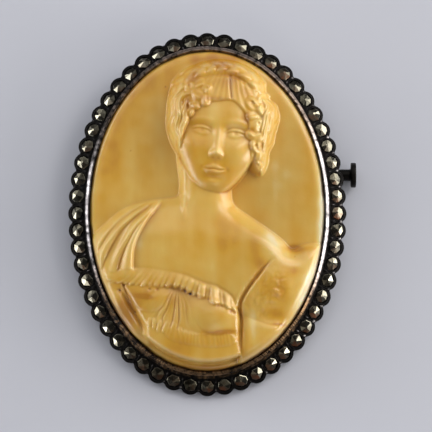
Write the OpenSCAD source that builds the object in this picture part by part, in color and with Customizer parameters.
// Oval cameo brooch, face up, with the top of the figure towards +Y. Sizes are in millimetres.
// A carved plaque sits in an open-backed silver setting with a scalloped ring of cut stones.
// Behind it are a straight pin between two hinge lugs and a clasp whose tube slides over the pin's tip.
// The brooch lies as it rests by itself: on its lower rim, its hinge lugs and the disc of the pull.

/* [Plaque] */
// Height of the carved plaque
plaque_h = 40.4; // [38:0.1:43]
// Width of the carved plaque
plaque_w = 29.6; // [28:0.1:32]
// Thickness of the plaque at its rim
plaque_rim_t = 1.55; // [1.3:0.05:2]
// How far the rounded edge of the face reaches inward
edge_w = 1.1; // [0.8:0.05:1.6]
// Rise of the rounded edge, from the rim to the field
edge_rise = 0.75; // [0.4:0.05:1]
// Extra rise of the field from its edge to its middle
field_dome = 0.3; // [0:0.05:0.6]
// Height of the highest carving above the field
relief_h = 4.4; // [3:0.1:5.2]

/* [Bezel] */
// Thickness of the ledge behind the plaque
seat_t = 0.6; // [0.5:0.05:0.9]
// How far the ledge reaches under the plaque
seat_w = 1.2; // [0.8:0.1:1.8]
// Gap between the plaque and the metal round it
plaque_gap = 0.05; // [0.03:0.01:0.1]
// Thickness of the bezel wall at its foot
bezel_t = 0.3; // [0.25:0.01:0.4]
// How far the bezel's lip leans over the plaque
lip_w = 0.27; // [0.15:0.01:0.35]
// Height of the bezel's crown above the plaque's rim
crown_rise = 0.72; // [0.6:0.02:1]
// How far the bezel sits above the middle of the stone ring
bezel_shift = 0.2; // [0:0.05:0.2]
// Rise of the bezel's foot above the inner edges of the cups
foot_rise = 0.08; // [0.05:0.01:0.15]

/* [Stones] */
// Width of a stone across its flat sides
stone_d = 1.7; // [1.5:0.01:1.8]
// Gap between neighbouring stones
stone_gap = 0.43; // [0.35:0.01:0.6]
// Height of a stone from its girdle to its table
stone_crown_h = 0.5; // [0.35:0.01:0.6]
// Depth of a stone below its girdle
stone_pavilion_h = 0.4; // [0.3:0.01:0.45]
// Width of a stone's table
table_d = 0.5; // [0.35:0.01:0.8]
// Width of a stone's flat underside
culet_d = 0.8; // [0.6:0.01:0.9]
// Gap between a stone and its cup
cup_gap = 0.06; // [0.04:0.01:0.08]
// Flat between a cup and the bezel, where the two come closest
cup_land = 0.01; // [0.01:0.01:0.05]

/* [Stone ring] */
// Height of the ring's face at the middle of the stones
ring_face_z = 1.35; // [1.2:0.01:1.5]
// Outward slope of the ring's face, in degrees
ring_slope = 28; // [15:1:30]
// Metal outside the stones, seen from above
ring_rim = 0.44; // [0.35:0.01:0.6]
// Depth of the scallops between the lobes
scallop = 0.43; // [0.2:0.01:0.45]
// Height of the grain of metal between two stones
grain_h = 0.12; // [0.05:0.01:0.2]

/* [Pin and clasp] */
// Distance of the pin's line above the middle of the brooch
pin_y = 5; // [3:0.1:8]
// Distance of the pin's axis behind the setting
pin_depth = 1; // [0.95:0.01:1.2]
// Diameter of the pin's stem
pin_d = 0.75; // [0.6:0.01:0.8]
// Length of the pin's tapered tip
pin_tip_l = 1.2; // [0.8:0.1:2]
// Diameter of the pin's blunt point
pin_point_d = 0.19; // [0.1:0.01:0.3]
// Outer diameter of the clasp's fixed sleeve
sleeve_d = 2; // [1.9:0.01:2.2]
// Wall of the clasp's fixed sleeve
sleeve_wall = 0.25; // [0.2:0.01:0.28]
// Length of the clasp's fixed sleeve
sleeve_l = 5.4; // [5:0.1:6]
// Width of the block of solder between the sleeve and the ring
saddle_w = 1.4; // [1.2:0.1:1.6]
// Radial clearance of the sliding tube in the sleeve
slide_gap = 0.03; // [0.02:0.01:0.05]
// Radial clearance of the pin in the sliding tube
tip_gap = 0.1; // [0.06:0.01:0.12]
// How far the closed tube ends inside the sleeve
pull_inset = 0.3; // [0.2:0.05:0.5]
// Travel of the sliding tube from closed to open
pull_travel = 2.6; // [2.4:0.1:3]
// Length of the pin's tip that the closed tube covers
tip_cover = 2.3; // [1.8:0.1:2.3]
// Free length of the tube's bore past the pin's point
tip_room = 0.65; // [0.3:0.05:1]
// Diameter of the pull's disc and of the hinge lugs
disc_d = 3.1; // [2.9:0.05:3.2]
// Thickness of the pull's disc
disc_t = 0.65; // [0.5:0.05:0.8]
// Distance from the ring's outer edge to the closed pull's disc
disc_gap = 1.03; // [0.8:0.01:1.4]
// Thickness of a hinge lug
lug_t = 0.6; // [0.5:0.05:0.8]
// Width of the pin's knuckle between the lugs
knuckle_w = 1; // [0.9:0.05:1.3]
// Diameter of the hinge rivet
rivet_d = 0.8; // [0.7:0.05:1]
// Clearance round the rivet and beside the knuckle
hinge_gap = 0.03; // [0.02:0.01:0.05]

/* [Hidden] */
$fn = 48;
overlap = 0.05;

// Semi-axes of the plaque, and heights on it
plaque_a = plaque_w / 2;
plaque_b = plaque_h / 2;
plaque_back_z = seat_t + plaque_gap;
plaque_rim_z = plaque_back_z + plaque_rim_t;

// The path that the middles of the stones follow, and what lies across it
stone_r = stone_d / 2;
cup_r = stone_r + cup_gap / 2;
girdle_lift = cup_gap;
cup_depth = stone_pavilion_h - girdle_lift + cup_gap;
cup_floor_r = culet_d / 2 + cup_gap;
path_out = plaque_gap + bezel_t + bezel_shift + cup_land + cup_r * cos(ring_slope);
path_a = plaque_a + path_out;
path_b = plaque_b + path_out;
lobe_r = stone_r * cos(ring_slope) + ring_rim;
outer_a = path_a + lobe_r;
outer_b = path_b + lobe_r;
bezel_foot_z = ring_face_z + cup_r * sin(ring_slope) + foot_rise;

// Even spacing along the stone path: pairs of length so far and oval angle
arc_steps = 360;
function oval(a, b, t) = [a * cos(t), b * sin(t)];
function arc_step(t) = norm(oval(path_a, path_b, t) - oval(path_a, path_b, t - 1));
function arc_length(t) = t <= 0 ? 0 : arc_step(t) + arc_length(t - 1);
arc_table = [for (i = [0 : arc_steps]) [arc_length(i), i]];
path_length = arc_table[arc_steps][0];
stone_count = 2 * round(path_length / (stone_d + stone_gap) / 2);
pitch = path_length / stone_count;

// The point of the path at a length along it, the way that the ring faces there, and an oval's point
// that faces the same way
function path_angle(s) = lookup(s, arc_table);
function path_point(s) = oval(path_a, path_b, path_angle(s));
function facing(s) = let (t = path_angle(s)) atan2(path_a * sin(t), path_b * cos(t));
function oval_facing(a, b, f) = oval(a, b, atan2(b * sin(f), a * cos(f)));

// Shape of the plaque's face. Distance inward from the rim at a point, and the height of the bare field.
// Within this share of the oval the rim counts as far away.
MIDDLE_SHARE = 0.2;
function rim_share(p) = norm([p[0] / plaque_a, p[1] / plaque_b]);
function rim_distance(p) =
    let (e = rim_share(p), g = norm([p[0] / plaque_a / plaque_a, p[1] / plaque_b / plaque_b]))
    e < MIDDLE_SHARE ? plaque_a : (1 - e) * e / g;
function step_up(x, x0, x1) = let (k = max(0, min(1, (x - x0) / (x1 - x0)))) k * k * (3 - 2 * k);
function edge_height(d) = edge_rise * (1 - pow(1 - min(1, max(0, d) / edge_w), 2));
function field_height(p) = edge_height(rim_distance(p)) + field_dome * (1 - pow(rim_share(p), 2));

// Rounded masses of the bust. Places and sizes are shares of half the plaque's height, heights are
// shares of relief_h, turns are in degrees and fullness is 0.5 for a ball and more for a softer swell.
// Columns: x, y, half width, half length, turn, height, fullness
MASSES = [
    [ 0.085,  0.520, 0.295, 0.385,  -7, 0.66, 0.65], // skull and hair
    [ 0.040,  0.400, 0.215, 0.285,  -7, 0.90, 0.50], // face
    [-0.195,  0.530, 0.095, 0.240,   2, 0.54, 0.80], // hanging lock at the left
    [-0.060,  0.680, 0.120, 0.120,   0, 0.76, 0.65], // curls over the left temple
    [ 0.340,  0.430, 0.125, 0.280, -10, 0.60, 0.80], // ringlets at the right
    [-0.010,  0.120, 0.175, 0.300,   0, 0.50, 0.65], // neck
    [-0.010, -0.300, 0.480, 0.400,   0, 0.48, 0.60], // chest
    [ 0.300, -0.200, 0.260, 0.160, -38, 0.42, 0.65], // shoulder at the right
    [-0.400, -0.140, 0.300, 0.180,  24, 0.46, 0.75], // shoulder at the left
    [-0.560, -0.340, 0.170, 0.310, -12, 0.44, 0.75], // cloth behind the arm
    [-0.530, -0.640, 0.145, 0.290,  14, 0.44, 0.75], // arm at the left
    [ 0.410, -0.470, 0.210, 0.300, -16, 0.56, 0.70], // puffed sleeve
    [ 0.350, -0.780, 0.150, 0.230, -16, 0.42, 0.65], // forearm at the right
    [-0.320, -0.500, 0.180, 0.170,  10, 0.64, 0.60], // bust at the left
    [ 0.050, -0.630, 0.170, 0.160,   0, 0.64, 0.60], // bust at the right
    [-0.070, -0.780, 0.270, 0.240,   0, 0.48, 0.45], // bodice
];
// Rolls of hair and cloth. Each runs through its points, with a radius and a height at its middle,
// and swells and narrows along its run.
// Columns: radius, height, swells, points
ROLLS = [
    // Braid over the crown
    [0.090, 0.66, 7, [[-0.17, 0.74], [-0.05, 0.83], [0.08, 0.86], [0.22, 0.82], [0.33, 0.72], [0.37, 0.62]]],
    // Ruffle of the neckline
    [0.075, 0.60, 9, [[-0.60, -0.39], [-0.42, -0.39], [-0.22, -0.42], [-0.02, -0.50], [0.18, -0.62]]],
];
ROLL_SWELL = 0.03;
ROLL_FULLNESS = 0.7;
// Features of the face, in shares of its half length from its middle; a pair is mirrored.
// Columns: x, y, half width, half length, height as a share of relief_h, 1 for a pair
FACE_X = 0.045;
FACE_Y = 0.385;
FACE_HALF = 0.285;
FACE_TURN = -7;
FEATURES = [
    [0.00,  0.02, 0.10, 0.26,  0.075, 0], // ridge of the nose
    [0.00, -0.20, 0.13, 0.10,  0.110, 0], // tip of the nose
    [0.32,  0.13, 0.19, 0.11, -0.085, 1], // hollow of the eye
    [0.33,  0.11, 0.13, 0.07,  0.055, 1], // eyelid
    [0.30,  0.34, 0.24, 0.07,  0.030, 1], // brow
    [0.00, -0.44, 0.22, 0.05,  0.055, 0], // upper lip
    [0.00, -0.53, 0.18, 0.05,  0.055, 0], // lower lip
    [0.00, -0.63, 0.20, 0.05, -0.030, 0], // hollow under the lips
    [0.00, -0.80, 0.20, 0.13,  0.060, 0], // chin
    [0.42, -0.20, 0.22, 0.20,  0.035, 1], // cheek
];
// Reach of the features from the face's middle, in its half lengths
FACE_REACH = 1.3;
// Sharpness with which the masses join
JOIN = 7;
// Height, as a share of relief_h, below which a spot has no features or folds
BARE = 0.1;
// Square of the distance, in half widths, at which a bell of a feature or groove has faded away
BELL_END = 9;
// Folds of the shawl over the left shoulder: middle, size, direction of the folds, spacing, depth
// and the share of the size over which they fade
SHAWL_AT = [-0.46, -0.20];
SHAWL_SIZE = 0.30;
SHAWL_TURN = -52;
SHAWL_FOLD = 0.13;
SHAWL_DEPTH = 0.03;
SHAWL_FADE = 0.4;
// Cut between the body and the sleeve, as a groove through its points
SLEEVE_CUT = [[0.40, -0.29], [0.30, -0.44], [0.21, -0.62], [0.20, -0.92]];
SLEEVE_CUT_R = 0.03;
SLEEVE_CUT_DEPTH = 0.12;
// Clear rim of the plaque round the bust
BUST_CLEAR = [0.35, 1.3];

function turned(p, a) = [p[0] * cos(a) + p[1] * sin(a), p[1] * cos(a) - p[0] * sin(a)];
function sum(list) = list * [for (v = list) 1];
function mass(p, m) =
    let (q = turned(p - [m[0], m[1]], m[4]), d = pow(q[0] / m[2], 2) + pow(q[1] / m[3], 2))
    d >= 1 ? 0 : m[5] * pow(1 - d, m[6]);
function bell(p, f, side) =
    let (d = pow((p[0] - side * f[0]) / f[2], 2) + pow((p[1] - f[1]) / f[3], 2))
    d > BELL_END ? 0 : f[4] * exp(-d);

// Nearest place on a run of points: distance, and the share of the run passed
function near_leg(p, a, b, i, n) =
    let (k = max(0, min(1, (p - a) * (b - a) / ((b - a) * (b - a)))))
    [norm(p - a - k * (b - a)), (i + k) / n];
function nearest(p, pts) =
    let (legs = [for (i = [0 : len(pts) - 2]) near_leg(p, pts[i], pts[i + 1], i, len(pts) - 1)],
         d = min([for (l = legs) l[0]]))
    [for (l = legs) if (l[0] <= d) l][0];
function roll(p, r) =
    let (n = nearest(p, r[3]), d = n[0] / r[0])
    d >= 1 ? 0 : (r[1] + ROLL_SWELL * cos(360 * r[2] * n[1])) * pow(1 - d * d, ROLL_FULLNESS);
function shawl(p) =
    let (q = turned(p - SHAWL_AT, SHAWL_TURN), d = norm(q) / SHAWL_SIZE)
    d >= 1 ? 0 : SHAWL_DEPTH * cos(360 * q[1] / SHAWL_FOLD) * step_up(1 - d, 0, SHAWL_FADE);
function sleeve_cut(p) =
    let (d = pow(nearest(p, SLEEVE_CUT)[0] / SLEEVE_CUT_R, 2))
    d > BELL_END ? 0 : SLEEVE_CUT_DEPTH * exp(-d);
function face(p) =
    let (q = turned(p - [FACE_X, FACE_Y], FACE_TURN) / FACE_HALF)
    norm(q) > FACE_REACH ? 0 : sum([for (f = FEATURES) bell(q, f, 1) + f[5] * bell(q, f, -1)]);

// Height of the bust above the field, as a share of relief_h, at a point in shares of half the height
function bust(p) =
    let (parts = concat([for (m = MASSES) mass(p, m)], [for (r = ROLLS) roll(p, r)]),
         body = pow(sum([for (h = parts) pow(h, JOIN)]), 1 / JOIN))
    max(0, body + (body > BARE ? face(p) + shawl(p) - sleeve_cut(p) : 0));
function plaque_z(p) =
    plaque_rim_z + field_height(p)
    + relief_h * bust(p / plaque_b) * step_up(rim_distance(p), BUST_CLEAR[0], BUST_CLEAR[1]);

// Grid of the plaque's face: a square grid drawn out to the oval, and drawn together at the head
GRID_X = 54;
GRID_Y = 58;
HEAD_AT = [0.05, 0.45];
HEAD_PULL = 0.35;
function square_to_oval(u, v) = [plaque_a * u * sqrt(1 - v * v / 2), plaque_b * v * sqrt(1 - u * u / 2)];
function gather(p) = p + (HEAD_AT * plaque_b - p) * HEAD_PULL * pow(1 - pow(rim_share(p), 2), 2);
function grid_point(i, j) =
    let (on_rim = i == 0 || j == 0 || i == GRID_X || j == GRID_Y,
         p = square_to_oval(2 * i / GRID_X - 1, 2 * j / GRID_Y - 1))
    on_rim ? p : gather(p);

module oval_plaque() {
    face_points = [for (j = [0 : GRID_Y]) for (i = [0 : GRID_X])
        let (p = grid_point(i, j)) [p[0], p[1], plaque_z(p)]];
    row = GRID_X + 1;
    rim = concat(
        [for (i = [0 : GRID_X - 1]) i],
        [for (j = [0 : GRID_Y - 1]) j * row + GRID_X],
        [for (i = [0 : GRID_X - 1]) GRID_Y * row + GRID_X - i],
        [for (j = [0 : GRID_Y - 1]) (GRID_Y - j) * row]
    );
    n = len(rim);
    back_points = [for (k = rim) [face_points[k][0], face_points[k][1], plaque_back_z]];
    first = len(face_points);
    cells = [for (j = [0 : GRID_Y - 1]) for (i = [0 : GRID_X - 1])
        let (a = j * row + i, b = a + 1, c = a + row + 1, d = a + row)
        each (i + j) % 2 == 0 ? [[a, c, b], [a, d, c]] : [[a, d, b], [b, d, c]]];
    sides = [for (k = [0 : n - 1])
        let (m = (k + 1) % n)
        each [[rim[k], rim[m], first + k], [rim[m], first + m, first + k]]];
    back = [for (k = [0 : n - 1]) first + k];
    polyhedron(concat(face_points, back_points), concat(cells, sides, [back]), convexity = 8);
}

// Ring and bezel as one section carried round in quarter pitches. The section runs up the outer edge,
// across the cup, over the bezel and down to the ledge; in a valley the cup's floor rises to a grain.
QUARTERS = 4;
// Width of the cup as a share of its middle, at a quarter of the way and in the valley
QUARTER_SHARE = 0.86;
VALLEY_SHARE = 0.4;
// Wall of the bezel at its shoulder, as a share of its foot
SHOULDER_SHARE = 0.65;
// What a section is at a stone's middle, at a quarter of the way and in the valley between stones.
// Columns: lobe reach, cup half width, floor half width, floor height
function lobe_reach(s) = sqrt(lobe_r * lobe_r - s * s);
function section_kind(k) =
    k == 0 ? [lobe_r, cup_r, cup_floor_r, -cup_depth]
    : k == 2 ? [lobe_r - scallop, cup_r * VALLEY_SHARE, cup_floor_r * VALLEY_SHARE, grain_h]
    : [lobe_reach(pitch / QUARTERS), cup_r * QUARTER_SHARE, cup_floor_r * QUARTER_SHARE, -cup_depth];
function on_slope(q, up) =
    [q * cos(ring_slope) + up * sin(ring_slope), ring_face_z - q * sin(ring_slope) + up * cos(ring_slope)];
function section(k) =
    let (s = k * pitch / QUARTERS, f = facing(s), out = [cos(f), sin(f)], c = path_point(s),
         kind = section_kind(k % QUARTERS), lobe_z = ring_face_z - kind[0] * tan(ring_slope),
         across = [
             [kind[0], 0],
             [kind[0], lobe_z],
             on_slope(kind[1], 0),
             on_slope(kind[2], kind[3]),
             on_slope(-kind[2], kind[3]),
             on_slope(-kind[1], 0)
         ],
         lip_z = plaque_rim_z + edge_height(lip_w) + 2 * plaque_gap,
         crown_z = plaque_rim_z + crown_rise,
         bezel = [
             [plaque_gap + bezel_t, bezel_foot_z],
             [plaque_gap + bezel_t * SHOULDER_SHARE, (lip_z + crown_z) / 2],
             [0, crown_z],
             [-lip_w, lip_z],
             [plaque_gap, plaque_rim_z + plaque_gap],
             [plaque_gap, seat_t],
             [-seat_w, seat_t],
             [-seat_w, 0]
         ])
    concat(
        [for (r = across) [c[0] + r[0] * out[0], c[1] + r[0] * out[1], r[1]]],
        [for (r = bezel)
            let (p = oval_facing(plaque_a + r[0], plaque_b + r[0], f)) [p[0], p[1] + bezel_shift, r[1]]]
    );

module ring_and_bezel() {
    n = stone_count * QUARTERS;
    sections = [for (k = [0 : n - 1]) section(k)];
    m = len(sections[0]);
    faces = [for (k = [0 : n - 1]) for (i = [0 : m - 1])
        let (here = k * m, next = (k + 1) % n * m, j = (i + 1) % m,
             a = here + i, b = here + j, c = next + j, d = next + i)
        each [[a, b, c], [a, c, d]]];
    polyhedron([for (s = sections) each s], faces, convexity = 10);
}

// Rings of a stone from the underside up, in the stone's own frame. Columns: half width, height
STONE_SIDES = 8;
STONE_RINGS = [
    [culet_d / 2, girdle_lift - stone_pavilion_h],
    [stone_r, girdle_lift],
    [table_d / 2, girdle_lift + stone_crown_h]
];
function stone_points(i) =
    let (s = i * pitch, f = facing(s), c = path_point(s))
    [for (r = STONE_RINGS) for (k = [0 : STONE_SIDES - 1])
        let (t = (k + 0.5) * 360 / STONE_SIDES, w = r[0] / cos(180 / STONE_SIDES),
             q = on_slope(w * cos(t), r[1]), side = w * sin(t))
        [c[0] + q[0] * cos(f) - side * sin(f), c[1] + q[0] * sin(f) + side * cos(f), q[1]]];
function stone_faces(first) =
    let (m = STONE_SIDES, rings = len(STONE_RINGS))
    concat(
        [[for (k = [0 : m - 1]) first + k]],
        [[for (k = [0 : m - 1]) first + rings * m - 1 - k]],
        [for (j = [0 : rings - 2]) for (k = [0 : m - 1])
            let (a = first + j * m + k, b = first + j * m + (k + 1) % m)
            each [[a, a + m, b], [b, a + m, b + m]]]
    );

// The clasp and the hinge lie along one line behind the brooch
function ring_x(y, out) = (path_a + out) * sqrt(1 - pow(y / (path_b + out), 2));
sleeve_end_x = ring_x(pin_y, lobe_r - ring_rim);
sleeve_start_x = sleeve_end_x - sleeve_l;
pull_start_x = sleeve_start_x + pull_inset;
pin_end_x = pull_start_x + tip_cover;
sleeve_bore_d = sleeve_d - 2 * sleeve_wall;
pull_d = sleeve_bore_d - 2 * slide_gap;
pull_bore_d = pin_d + 2 * tip_gap;
disc_x = ring_x(pin_y, lobe_r) + disc_gap;
slot_w = pull_bore_d;
hinge_x = -ring_x(pin_y, 0) + disc_d / 2;
lug_y = (knuckle_w + lug_t) / 2 + hinge_gap;
saddle_l = ring_x(pin_y, 0) - ring_x(pin_y, -path_out - seat_w);

// Rest: the tilt at which the lower rim and the disc touch the table together, and the way back to
// the origin, which is under the middle of the whole brooch
rest_reach = outer_b + pin_y;
rest_tilt = asin(disc_d / 2 / norm([rest_reach, pin_depth])) + atan2(pin_depth, rest_reach);
rest_lift = outer_b * sin(rest_tilt);
rest_x = (outer_a - disc_x - disc_t) / 2;

module at_rest() {
    translate([rest_x, 0, rest_lift]) rotate([rest_tilt, 0, 0]) children();
}

module along_pin(x) {
    translate([x, pin_y, -pin_depth]) rotate([0, 90, 0]) children();
}

module lug(side) {
    translate([hinge_x, pin_y + side * lug_y, -pin_depth]) rotate([90, 0, 0]) difference() {
        cylinder(d = disc_d, h = lug_t, center = true);
        cylinder(d = rivet_d + 2 * hinge_gap, h = lug_t + 2 * overlap, center = true);
    }
}

module sleeve() {
    difference() {
        union() {
            along_pin(sleeve_start_x) cylinder(d = sleeve_d, h = sleeve_l);
            translate([sleeve_end_x - saddle_l, pin_y - saddle_w / 2, -pin_depth])
                cube([saddle_l, saddle_w, pin_depth + seat_t / 2]);
        }
        along_pin(sleeve_start_x - overlap) cylinder(d = sleeve_bore_d, h = sleeve_l + 2 * overlap);
        translate([sleeve_start_x - overlap, pin_y - slot_w / 2, -pin_depth - sleeve_d])
            cube([pull_start_x + pull_travel - sleeve_start_x, slot_w, sleeve_d]);
    }
}

module cameo() {
    color("#dcb063") at_rest() translate([0, bezel_shift, 0]) oval_plaque();
}

module setting() {
    color("#4a4744") at_rest() union() {
        ring_and_bezel();
        sleeve();
        lug(-1);
        lug(1);
    }
}

module marcasites() {
    per_stone = len(STONE_RINGS) * STONE_SIDES;
    color("#8b8672") at_rest() polyhedron(
        [for (i = [0 : stone_count - 1]) each stone_points(i)],
        [for (i = [0 : stone_count - 1]) each stone_faces(i * per_stone)],
        convexity = 10
    );
}

module pin() {
    stem_l = pin_end_x - pin_tip_l - hinge_x;
    color("#77736c") at_rest() {
        along_pin(hinge_x) cylinder(d = pin_d, h = stem_l);
        along_pin(hinge_x + stem_l) cylinder(d1 = pin_d, d2 = pin_point_d, h = pin_tip_l);
        translate([hinge_x, pin_y, -pin_depth]) rotate([90, 0, 0]) {
            cylinder(d = disc_d - 2 * lug_t, h = knuckle_w, center = true);
            cylinder(d = rivet_d, h = knuckle_w + 2 * (lug_t + hinge_gap), center = true);
        }
    }
}

module clasp_pull() {
    color("#3a3735") at_rest() difference() {
        union() {
            along_pin(pull_start_x) cylinder(d = pull_d, h = disc_x - pull_start_x + overlap);
            along_pin(disc_x) cylinder(d = disc_d, h = disc_t);
        }
        along_pin(pull_start_x - overlap) cylinder(d = pull_bore_d, h = overlap + tip_cover + tip_room);
    }
}

cameo();
setting();
marcasites();
pin();
clasp_pull();
